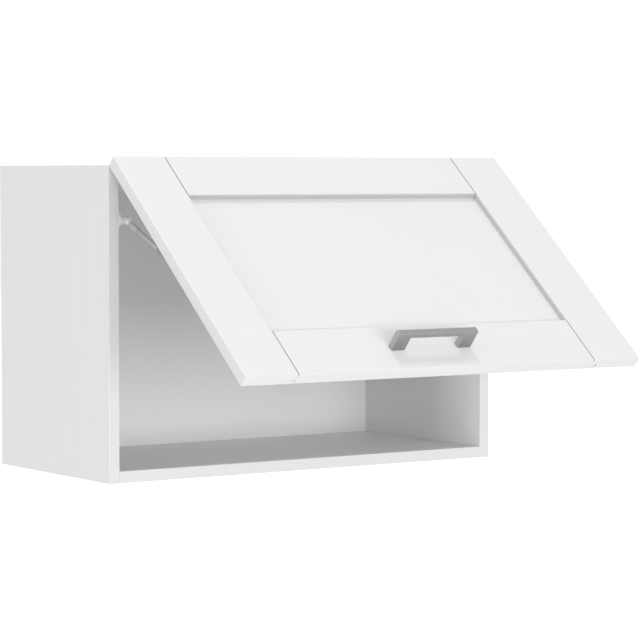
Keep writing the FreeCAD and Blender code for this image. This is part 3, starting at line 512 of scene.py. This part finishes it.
# A cam's rim and the place of its notch as shares of its diameter, and the notch as shares of a slot
CAM_RIM = 0.02
CAM_TAPER = 0.95
NOTCH_PLACE = 0.42
NOTCH_WIDTH = 0.6
NOTCH_LENGTH = 1.2


def add_object(name, data):
    """A new object in the scene."""
    obj = bpy.data.objects.new(name, data)
    bpy.context.scene.collection.objects.link(obj)
    return obj


def smooth_by_angle(mesh):
    """Smooth shading with sharp edges where faces meet at an angle."""
    mesh.polygons.foreach_set("use_smooth", [True] * len(mesh.polygons))
    mesh.set_sharp_from_angle(angle=SMOOTH_ANGLE)


def new_tree(name, lengths):
    """A geometry tree with named lengths and a material as inputs: its net and its input node."""
    tree = bpy.data.node_groups.new(name, "GeometryNodeTree")
    tree.interface.new_socket("Geometry", in_out="OUTPUT", socket_type="NodeSocketGeometry")
    tree.interface.new_socket("Geometry", in_out="INPUT", socket_type="NodeSocketGeometry")
    for label in lengths:
        tree.interface.new_socket(label, in_out="INPUT", socket_type="NodeSocketFloat")
    tree.interface.new_socket("Finish", in_out="INPUT", socket_type="NodeSocketMaterial")
    net = Net(tree)
    return net, net.make("NodeGroupInput")


def disc(net, sides, radius, depth, height):
    """A closed cylinder about Z, as made and with its middle at a height."""
    mesh = net.make("GeometryNodeMeshCylinder", {"Vertices": sides, "Radius": radius, "Depth": depth})
    return mesh, net.moved(mesh, Z=height)


def bar(net, x, y, z, height):
    """A box about the Z axis with its middle at a height."""
    mesh = net.make("GeometryNodeMeshCube", {"Size": net.vector(X=x, Y=y, Z=z)})
    return net.moved(mesh, Z=height)


def cross(net, width, slot, depth, height):
    """Two bars that cross on the Z axis."""
    return [bar(net, width, slot, depth, height), bar(net, slot, width, depth, height)]


def stepped(net, mesh, top, rise, width):
    """Raise the top of a mesh and narrow it, and hand on the mesh and its new top."""
    raised = net.make("GeometryNodeExtrudeMesh", {"Mesh": mesh, "Selection": top, "Offset Scale": rise})
    top = raised.output("Top")
    narrowed = net.make(
        "GeometryNodeScaleElements", {"Geometry": raised, "Selection": top, "Scale": width})
    return narrowed, top


def less(net, mesh, cutters):
    """A mesh with others cut out of it."""
    return net.make(
        "GeometryNodeMeshBoolean", {"Mesh 1": mesh, "Mesh 2": cutters},
        operation="DIFFERENCE", solver="EXACT")


def set_on_places(net, given, piece):
    """Stand a piece on every place given, along the place's own axis, and close the tree."""
    axis = net.make("GeometryNodeInputNamedAttribute", {"Name": "axis"}, data_type="FLOAT_VECTOR")
    turn = net.make("FunctionNodeAlignRotationToVector", {"Vector": axis}, axis="Z")
    stood = net.make(
        "GeometryNodeInstanceOnPoints", {"Points": given, "Instance": piece, "Rotation": turn})
    real = net.make("GeometryNodeRealizeInstances", {"Geometry": stood})
    painted = net.make(
        "GeometryNodeSetMaterial", {"Geometry": real, "Material": given.output("Finish")})
    net.make("NodeGroupOutput", {"Geometry": painted})
    return net.tree


def screw_tree():
    """Pan head screws with a cross recess; a place is the seat of the head."""
    net, given = new_tree("cross_screws", (
        "Head Diameter", "Head Height", "Shank Diameter", "Shank Length", "Recess Width", "Recess Slot"))
    height, reach = given.output("Head Height"), given.output("Shank Length")
    skirt = height * HEAD_SKIRT
    cylinder, head = disc(net, HEAD_SIDES, given.output("Head Diameter") * 0.5, skirt, skirt * 0.5)
    top = cylinder.output("Top")
    for rise, width in HEAD_DOME:
        head, top = stepped(net, head, top, height * rise, width)
    recess = cross(net, given.output("Recess Width"), given.output("Recess Slot"), height, height)
    head = less(net, head, recess)
    shank = disc(net, SHANK_SIDES, given.output("Shank Diameter") * 0.5, reach, reach * -0.5)[1]
    screw = net.make("GeometryNodeJoinGeometry", {"Geometry": [head, shank]})
    return set_on_places(net, given, screw)


def cam_tree():
    """Round cams with a rim, a cross recess and a notch; a place is the middle of the outer face."""
    lengths = ("Diameter", "Depth", "Recess Width", "Recess Slot", "Recess Depth")
    net, given = new_tree("cam_discs", lengths)
    size, depth, width, slot, sunk = (given.output(label) for label in lengths)
    rim = size * CAM_RIM
    cylinder, cam = disc(net, CAM_SIDES, size * 0.5, depth - rim, (depth + rim) * -0.5)
    cam = stepped(net, cam, cylinder.output("Top"), rim, CAM_TAPER)[0]
    notch = bar(net, slot * NOTCH_WIDTH, slot * NOTCH_LENGTH, sunk, 0.0)
    notch = net.moved(notch, Y=size * NOTCH_PLACE)
    cam = less(net, cam, [*cross(net, width, slot, sunk * 2, 0.0), notch])
    return set_on_places(net, given, cam)


def grow(name, places, tree, values):
    """Grow a tree's pieces on places and keep the result as a plain mesh."""
    mesh = bpy.data.meshes.new(name)
    mesh.from_pydata([tuple(point) for point, axis in places], [], [])
    axes = mesh.attributes.new("axis", "FLOAT_VECTOR", "POINT")
    axes.data.foreach_set("vector", [number for point, axis in places for number in axis])
    obj = add_object(name, mesh)
    modifier = obj.modifiers.new("grow", "NODES")
    modifier.node_group = tree
    for item in tree.interface.items_tree:
        if item.in_out == "INPUT" and item.name in values:
            modifier[item.identifier] = values[item.name]
    depsgraph = bpy.context.evaluated_depsgraph_get()
    grown = bpy.data.meshes.new_from_object(obj.evaluated_get(depsgraph), depsgraph=depsgraph)
    obj.modifiers.remove(modifier)
    obj.data = grown
    if len(grown.polygons) == 0:
        raise RuntimeError(f"{name} grew no faces")
    smooth_by_angle(grown)
    return obj


def lathe(name, parts, sides):
    """One mesh of closed turned shapes, each a place, an axis and (radius, height) pairs along it."""
    work = bmesh.new()
    for place, axis, profile in parts:
        turn = Matrix.Translation(place) @ axis.to_track_quat("Z", "Y").to_matrix().to_4x4()
        rings = []
        for radius, height in profile:
            count = 1 if radius < SAME_POINT else sides
            ring = []
            for index in range(count):
                around = math.tau * index / sides
                point = Vector((radius * math.cos(around), radius * math.sin(around), height))
                ring.append(work.verts.new(turn @ point))
            rings.append(ring)
        for lower, upper in zip(rings, rings[1:]):
            for index in range(sides):
                after = (index + 1) % sides
                corners = [lower[index % len(lower)], lower[after % len(lower)],
                           upper[after % len(upper)], upper[index % len(upper)]]
                unique = list(dict.fromkeys(corners))
                if len(unique) > 2:
                    work.faces.new(unique)
    bmesh.ops.recalc_face_normals(work, faces=work.faces)
    mesh = bpy.data.meshes.new(name)
    work.to_mesh(mesh)
    work.free()
    smooth_by_angle(mesh)
    return add_object(name, mesh)


# What a user would change

def length(name, default, description):
    return FloatProperty(name=name, description=description, default=default, unit="LENGTH", precision=5)


def angle(name, degrees, description):
    return FloatProperty(name=name, description=description, default=math.radians(degrees), subtype="ANGLE")


def power(name, default, description):
    return FloatProperty(name=name, description=description, default=default, unit="POWER")


def share_of(name, default, description, most=1.0):
    return FloatProperty(
        name=name, description=description, default=default, min=0.0, max=most, subtype="FACTOR")


def paint(name, default, description):
    return FloatVectorProperty(
        name=name, description=description, default=default, size=3, min=0.0, max=1.0, subtype="COLOR")


class CabinetColours(bpy.types.PropertyGroup):
    """Colours of the finishes."""

    board: paint("Boards", (0.8, 0.8, 0.8), "White melamine of the sides, top and bottom")
    back: paint("Back panel", (0.9, 0.9, 0.9), "White lacquer on the inside of the back panel")
    foil: paint("Flap", (0.84, 0.84, 0.84), "Matt foil on the flap")
    # Painted shade: the flap's left and right edges are darker
    painted_shade_edge_share: share_of("Dulled edges", 0.92, "Flap's white left on its left and right edges")
    # Painted shade: the rims beside and above the panel are darker
    painted_shade_rim_share: share_of("Dulled rims", 0.74, "Flap's white left on the rims beside and above the panel")
    # Painted shade: the walls beside and above the panel are darker
    painted_shade_wall_share: share_of("Dulled walls", 0.63, "Flap's white left on the walls beside and above the panel")
    joint_share: share_of("Dark joints", 0.22, "Flap's white left in the joints of the frame")
    handle: paint("Handle", (0.36, 0.356, 0.35), "Brushed steel of the handle")
    # Painted light: the handle's ends and the inner faces of its legs are paler
    painted_light_end_share: share_of("Pale ends", 1.3, "Tone of the handle's ground ends beside its brushed faces", 2.0)
    zinc: paint("Zinc", (0.6, 0.61, 0.63), "Zinc plate on hangers, brackets, cams and screws")
    nickel: paint("Nickel", (0.62, 0.6, 0.57), "Nickel plate on the hinges")
    white_plastic: paint("White plastic", (0.95, 0.95, 0.95), "Mounts, sockets and feet of the struts")
    ferrule: paint("Ferrules", (0.5, 0.5, 0.5), "Pale grey plastic of the ferrules")
    grey_plastic: paint("Grey plastic", (0.06, 0.06, 0.065), "Glands and pistons of the struts")
    rod: paint("Rods", (0.46, 0.46, 0.465), "Satin rods of the struts")
    cylinder: paint("Cylinders", (0.27, 0.27, 0.275), "Satin paint on the strut cylinders")
    beech: paint("Dowels", (0.62, 0.43, 0.26), "Beech of the dowels")
    soft: paint("Soft dots", (0.86, 0.88, 0.88), "Clear dots behind the flap's lower corners")


class CabinetFittings(bpy.types.PropertyGroup):
    """Sizes of the small fittings."""

    screw_head: length("Screw head", 0.007, "Head diameter of the wood screws")
    screw_cap: length("Screw cap", 0.002, "Head height of the wood screws")
    screw_shank: length("Screw shank", 0.0035, "Diameter of the wood screws")
    screw_bite: length("Screw length", 0.01, "Length of the wood screws in the board")
    handle_leg: length("Handle leg", 0.02, "Width of a handle leg")
    handle_bar: length("Handle bar", 0.007, "Thickness of the handle's bar")
    bolt_head: length("Handle screw head", 0.0085, "Head diameter of the handle screws")
    bolt_cap: length("Handle screw cap", 0.0025, "Head height of the handle screws")
    bolt_shank: length("Handle screw shank", 0.004, "Diameter of the handle screws")
    bolt_length: length("Handle screw length", 0.027, "Length of the handle screws under the head")
    cam: length("Cam", 0.015, "Diameter of the cams")
    cam_depth: length("Cam height", 0.012, "Height of the cams")
    adjuster: length("Hinge adjuster", 0.0058, "Diameter of the adjusting screws under the hinge arms")
    dot: length("Soft dot", 0.008, "Diameter of the soft dots")
    dot_height: length("Soft dot height", 0.0013, "Thickness of the soft dots")


class CabinetStudio(bpy.types.PropertyGroup):
    """Camera, lamps and floor."""

    azimuth: angle("Azimuth", -34.1, "Camera's turn round the cabinet")
    elevation: angle("Elevation", 3.043, "Camera's height angle")
    distance: length("Distance", 3.6044, "Camera from the point that it looks at")
    target: FloatVectorProperty(
        name="Looks at", description="Point in the middle of the picture",
        default=(0.01949, -0.29, -0.15797), subtype="TRANSLATION")
    focal_pixels: FloatProperty(
        name="Focal length", description="Focal length in pixels of the picture", default=2734.2)
    picture: IntProperty(
        name="Picture width", description="Width of the picture in pixels", default=640, subtype="PIXEL")
    floor_drop: length("Floor", 1.8, "Floor below the cabinet, as such cabinets hang")
    ambient: FloatProperty(name="Room light", description="Strength of the even light", default=0.64)
    overhead: power("Overhead lamp", 11.4, "Power of the soft box above")
    frontal: power("Front lamp", 60.0, "Power of the soft box in front")
    leftward: power("Left lamp", 38.0, "Power of the soft box on the left")


GROUPS = (
    ("cabinet_colours", CabinetColours),
    ("cabinet_fittings", CabinetFittings),
    ("cabinet_studio", CabinetStudio),
)


# Operators, one for each piece or group of like pieces

class CABINET_OT_boards(bpy.types.Operator):
    """Finish the sides, the top and the bottom"""

    bl_idname = "cabinet.boards"
    bl_label = "Boards"

    def execute(self, context):
        look = context.scene.cabinet_colours
        white = board_finish("white_melamine", look.board)
        wear(white, "side_panel_left", "side_panel_right", "top_panel", "bottom_panel")
        return {"FINISHED"}


class CABINET_OT_back(bpy.types.Operator):
    """Finish the thin back panel"""

    bl_idname = "cabinet.back"
    bl_label = "Back panel"

    def execute(self, context):
        wear(back_finish("lacquered_hardboard", context.scene.cabinet_colours.back), "back_panel")
        return {"FINISHED"}


class CABINET_OT_flap(bpy.types.Operator):
    """Finish the frame and panel of the flap"""

    bl_idname = "cabinet.flap"
    bl_label = "Flap"

    def execute(self, context):
        foil = foil_finish("matt_foil", context.scene.cabinet_colours)
        wear(foil, "stile_left", "stile_right", "top_rail", "bottom_rail", "flap_panel")
        return {"FINISHED"}


class CABINET_OT_handle(bpy.types.Operator):
    """Finish the handle in brushed steel"""

    bl_idname = "cabinet.handle"
    bl_label = "Handle"

    def execute(self, context):
        size, look = context.scene.cabinet_fittings, context.scene.cabinet_colours
        wear(brushed_finish("brushed_handle", look, size), "handle")
        return {"FINISHED"}


class CABINET_OT_struts(bpy.types.Operator):
    """Finish the lift struts and their mounts"""

    bl_idname = "cabinet.struts"
    bl_label = "Lift struts"

    def execute(self, context):
        look = context.scene.cabinet_colours
        white = moulded_finish("white_moulding", look.white_plastic, 0.22, coat=0.8)
        grey = moulded_finish("grey_moulding", look.grey_plastic, 0.4)
        pale = moulded_finish("pale_ferrule", look.ferrule, 0.4)
        rod = rod_finish("satin_rod", look.rod)
        satin = paint_finish("satin_cylinder", look.cylinder)
        for side in SIDES:
            wear(white, f"strut_mount_{side}", f"strut_socket_{side}", f"strut_foot_{side}")
            wear(pale, f"strut_ferrule_{side}")
            wear(grey, f"strut_gland_{side}", f"strut_piston_{side}")
            wear(rod, f"strut_rod_{side}")
            wear(satin, f"strut_cylinder_{side}")
        return {"FINISHED"}


class CABINET_OT_metalwork(bpy.types.Operator):
    """Finish the hinges, brackets, hangers and hidden joinery"""

    bl_idname = "cabinet.metalwork"
    bl_label = "Hinges and hangers"

    def execute(self, context):
        look = context.scene.cabinet_colours
        nickel = plated_finish("nickel_plate", look.nickel, rough_low=0.2, spangle=260.0)
        zinc = plated_finish("zinc_plate", look.zinc, rough_low=0.34, spangle=130.0)
        for side in SIDES:
            wear(nickel, *(f"hinge_{piece}_{side}" for piece in ("cup", "arm", "plate", "link")))
            wear(zinc, f"hanger_{side}", f"flap_bracket_{side}")
        wear(nickel, "hinge_pins")
        wear(zinc, "cam_bolts")
        wear(beech_finish("beech", look.beech), "dowels")
        return {"FINISHED"}


# Width of a cross recess and of its slots, as shares of a head's diameter
SCREW_RECESS = (0.55, 0.15)
ADJUSTER_RECESS = (0.6, 0.17)
CAM_RECESS = (0.46, 0.12)

# Recess of a cam as a share of its height
CAM_RECESS_DEPTH = 0.25

# Cap, shank and length of an adjuster as shares of its diameter, and places ahead of a hinge arm's rear end
ADJUSTER_SHARES = (0.22, 0.6, 0.5)
ADJUSTER_STEPS = (0.008, 0.03)

# Upright edge of a soft dot as a share of its height, and steps of the dome above
DOT_EDGE = 0.25
DOT_STEPS = 6


def screw_values(finish, recess, head, cap, shank, bite):
    """What the screw tree takes for one kind of screw."""
    width, slot = recess
    return {
        "Head Diameter": head, "Head Height": cap, "Shank Diameter": shank, "Shank Length": bite,
        "Recess Width": head * width, "Recess Slot": head * slot, "Finish": finish}


def inward(solid):
    """From the side that a solid sits on to the middle of the cabinet."""
    return Vector((1, 0, 0)) if solid[0].x < 0 else Vector((-1, 0, 0))


def head_seats(cap, facing, *nodes):
    """Seat of each screw head in some CAD nodes, and the way that it faces."""
    seats = []
    for node in nodes:
        for solid in solids_of(node):
            axis = facing(solid)
            seats.append((end_of(solid, axis) - axis * cap, axis))
    return seats


def adjuster_seats():
    """Seats of the adjusting screws under the hinge arms."""
    seats = []
    for side in SIDES:
        low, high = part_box(f"hinge_arm_{side}")
        middle = (low.x + high.x) / 2
        seats += [(Vector((middle, high.y - step, low.z)), DOWN) for step in ADJUSTER_STEPS]
    return seats


class CABINET_OT_screws(bpy.types.Operator):
    """Make the screws with cross recesses"""

    bl_idname = "cabinet.screws"
    bl_label = "Screws"

    def execute(self, context):
        size, look = context.scene.cabinet_fittings, context.scene.cabinet_colours
        tree = screw_tree()
        zinc = plated_finish("zinc_screws", look.zinc, rough_low=0.26, spangle=700.0)
        wood = screw_values(
            zinc, SCREW_RECESS, size.screw_head, size.screw_cap, size.screw_shank, size.screw_bite)
        large = screw_values(
            zinc, SCREW_RECESS, size.bolt_head, size.bolt_cap, size.bolt_shank, size.bolt_length)
        small = screw_values(
            zinc, ADJUSTER_RECESS, size.adjuster, *(size.adjuster * share for share in ADJUSTER_SHARES))
        seats = head_seats(size.screw_cap, lambda solid: DOWN, "hinge_screws")
        seats += head_seats(size.screw_cap, inward, "mount_screws", "hanger_screws")
        carcass = grow("carcass_screws", seats, tree, wood)
        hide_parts("hinge_screws", "mount_screws", "hanger_screws")
        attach(carcass, "carcass")
        seats = head_seats(size.screw_cap, lambda solid: -FLAP_OUT, "cup_screws", "bracket_screws")
        flap = grow("flap_screws", seats, tree, wood)
        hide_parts("cup_screws", "bracket_screws")
        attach(flap, "flap")
        seats = head_seats(size.bolt_cap, lambda solid: -FLAP_OUT, "handle_screws")
        bolts = grow("handle_bolts", seats, tree, large)
        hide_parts("handle_screws")
        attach(bolts, "flap")
        adjusters = grow("hinge_adjusters", adjuster_seats(), tree, small)
        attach(adjusters, "carcass")
        return {"FINISHED"}


class CABINET_OT_cams(bpy.types.Operator):
    """Make the cams that show in the top and the bottom"""

    bl_idname = "cabinet.cams"
    bl_label = "Cams"

    def execute(self, context):
        size, look = context.scene.cabinet_fittings, context.scene.cabinet_colours
        middle = (CAD_BOX[0].z + CAD_BOX[1].z) / 2
        places = []
        for solid in solids_of("cam_locks"):
            axis = UP if solid[0].z > middle else DOWN
            places.append((end_of(solid, axis), axis))
        width, slot = CAM_RECESS
        cams = grow("cam_discs", places, cam_tree(), {
            "Diameter": size.cam, "Depth": size.cam_depth, "Recess Width": size.cam * width,
            "Recess Slot": size.cam * slot, "Recess Depth": size.cam_depth * CAM_RECESS_DEPTH,
            "Finish": plated_finish("zinc_cams", look.zinc, rough_low=0.4, spangle=240.0)})
        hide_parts("cam_locks")
        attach(cams, "carcass")
        return {"FINISHED"}


class CABINET_OT_dots(bpy.types.Operator):
    """Make the domed soft dots behind the flap's lower corners"""

    bl_idname = "cabinet.dots"
    bl_label = "Soft dots"

    def execute(self, context):
        size = context.scene.cabinet_fittings
        radius, height = size.dot / 2, size.dot_height
        dome = [(0.0, 0.0), (radius, 0.0), (radius, height * DOT_EDGE)]
        for step in range(1, DOT_STEPS):
            turn = math.pi / 2 * step / DOT_STEPS
            dome.append((radius * math.cos(turn), height * (DOT_EDGE + (1 - DOT_EDGE) * math.sin(turn))))
        dome.append((0.0, height))
        parts = []
        for solid in solids_of("bumpers"):
            seat = end_of(solid, -FLAP_OUT) + FLAP_OUT * height
            parts.append((seat, -FLAP_OUT, dome))
        dots = lathe("soft_dots", parts, DOT_SIDES)
        dots.data.materials.append(soft_dot_finish("clear_soft", context.scene.cabinet_colours.soft))
        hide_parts("bumpers")
        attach(dots, "flap")
        return {"FINISHED"}


class CABINET_OT_studio(bpy.types.Operator):
    """Set the floor, the light and the camera"""

    bl_idname = "cabinet.studio"
    bl_label = "Studio"

    def execute(self, context):
        set_floor(context.scene.cabinet_studio)
        set_light(context.scene, context.scene.cabinet_studio)
        set_camera(context.scene, context.scene.cabinet_studio)
        return {"FINISHED"}


# Half the floor's width, its colour, and the light that it adds where it is seen directly
FLOOR_HALF = 40.0
FLOOR_COLOUR = (0.82, 0.82, 0.82, 1)
FLOOR_LIFT = 0.62

# Soft boxes: name, where the studio keeps the power, width, height and place; all aim at one point
LAMPS = (
    ("overhead_box", "overhead", 0.5, 0.5, Vector((-0.05, -0.35, 2.4))),
    ("front_box", "frontal", 3.4, 1.0, Vector((-0.3, -4.2, -0.2))),
    ("left_box", "leftward", 0.7, 2.2, Vector((-4.0, -0.7, 0.2))),
)
LAMP_AIM = Vector((0, -0.3, -0.15))

# Width of the camera's sensor in millimetres
SENSOR = 36.0


def seen_directly(net):
    """1 for rays from the camera, and for those that metal and clear parts send on."""
    rays = net.make("ShaderNodeLightPath", out="Is Camera Ray")
    return rays.atop(rays.output("Is Glossy Ray")).atop(rays.output("Is Transmission Ray"))


def empty_net(owner):
    """An empty node tree on a material or a world."""
    owner.use_nodes = True
    owner.node_tree.nodes.clear()
    return Net(owner.node_tree)


def look_from(obj, place, direction):
    """Stand a lamp or a camera at a place, turned to a direction."""
    obj.location = place
    obj.rotation_mode = "QUATERNION"
    obj.rotation_quaternion = direction.to_track_quat("-Z", "Y")


def set_floor(studio):
    """A wide pale floor that keeps shadows and is white where the light is full."""
    mesh = bpy.data.meshes.new("floor")
    level = CAD_BOX[0].z - studio.floor_drop
    corners = [(-1, -1), (1, -1), (1, 1), (-1, 1)]
    mesh.from_pydata([(x * FLOOR_HALF, y * FLOOR_HALF, level) for x, y in corners], [], [(0, 1, 2, 3)])
    floor = add_object("floor", mesh)
    material = bpy.data.materials.new("pale_floor")
    net = empty_net(material)
    matt = net.make("ShaderNodeBsdfDiffuse", {"Color": FLOOR_COLOUR})
    lift = net.make("ShaderNodeEmission", {"Color": WHITE, "Strength": seen_directly(net) * FLOOR_LIFT})
    both = net.make("ShaderNodeAddShader", {0: matt, 1: lift})
    net.make("ShaderNodeOutputMaterial", {"Surface": both})
    mesh.materials.append(material)


def set_light(scene, studio):
    """Even room light, a white background, and soft boxes above, in front and on the left."""
    scene.world = bpy.data.worlds.new("studio")
    net = empty_net(scene.world)
    room = net.make("ShaderNodeBackground", {"Color": WHITE, "Strength": studio.ambient})
    white = net.make("ShaderNodeBackground", {"Color": WHITE, "Strength": 1.0})
    mixed = net.make("ShaderNodeMixShader", {0: seen_directly(net), 1: room, 2: white})
    net.make("ShaderNodeOutputWorld", {"Surface": mixed})
    for name, kept_as, width, height, place in LAMPS:
        lamp = bpy.data.lights.new(name, "AREA")
        lamp.energy = getattr(studio, kept_as)
        lamp.shape = "RECTANGLE"
        lamp.size = width
        lamp.size_y = height
        look_from(add_object(name, lamp), place, LAMP_AIM - place)


def set_camera(scene, studio):
    """The camera at the picture's viewing angle."""
    level = math.cos(studio.elevation)
    back = Vector((
        math.sin(studio.azimuth) * level, -math.cos(studio.azimuth) * level, math.sin(studio.elevation)))
    data = bpy.data.cameras.new("camera")
    data.sensor_width = SENSOR
    data.lens = studio.focal_pixels * SENSOR / studio.picture
    camera = add_object("camera", data)
    look_from(camera, Vector(studio.target) + back * studio.distance, -back)
    scene.camera = camera
    scene.view_settings.view_transform = "Standard"


OPERATORS = (
    CABINET_OT_boards, CABINET_OT_back, CABINET_OT_flap, CABINET_OT_handle, CABINET_OT_struts,
    CABINET_OT_metalwork, CABINET_OT_screws, CABINET_OT_cams, CABINET_OT_dots, CABINET_OT_studio,
)


class CABINET_PT_panel(bpy.types.Panel):
    """Lists the cabinet's pieces, colours and sizes"""

    bl_idname = "CABINET_PT_panel"
    bl_label = "Lift-up wall cabinet"
    bl_space_type = "VIEW_3D"
    bl_region_type = "UI"
    bl_category = "Cabinet"

    def draw(self, context):
        for operator in OPERATORS:
            self.layout.operator(operator.bl_idname)
        for attribute, group in GROUPS:
            box = self.layout.box()
            for name in group.__annotations__:
                box.prop(getattr(context.scene, attribute), name)


def register():
    for attribute, group in GROUPS:
        bpy.utils.register_class(group)
        setattr(bpy.types.Scene, attribute, PointerProperty(type=group))
    for item in (*OPERATORS, CABINET_PT_panel):
        bpy.utils.register_class(item)


def unregister():
    for item in reversed((*OPERATORS, CABINET_PT_panel)):
        bpy.utils.unregister_class(item)
    for attribute, group in reversed(GROUPS):
        delattr(bpy.types.Scene, attribute)
        bpy.utils.unregister_class(group)


def main():
    """Build everything."""
    register()
    bpy.ops.cabinet.boards()
    bpy.ops.cabinet.back()
    bpy.ops.cabinet.flap()
    bpy.ops.cabinet.handle()
    bpy.ops.cabinet.struts()
    bpy.ops.cabinet.metalwork()
    bpy.ops.cabinet.screws()
    bpy.ops.cabinet.cams()
    bpy.ops.cabinet.dots()
    bpy.ops.cabinet.studio()


if __name__ == "__main__":
    main()
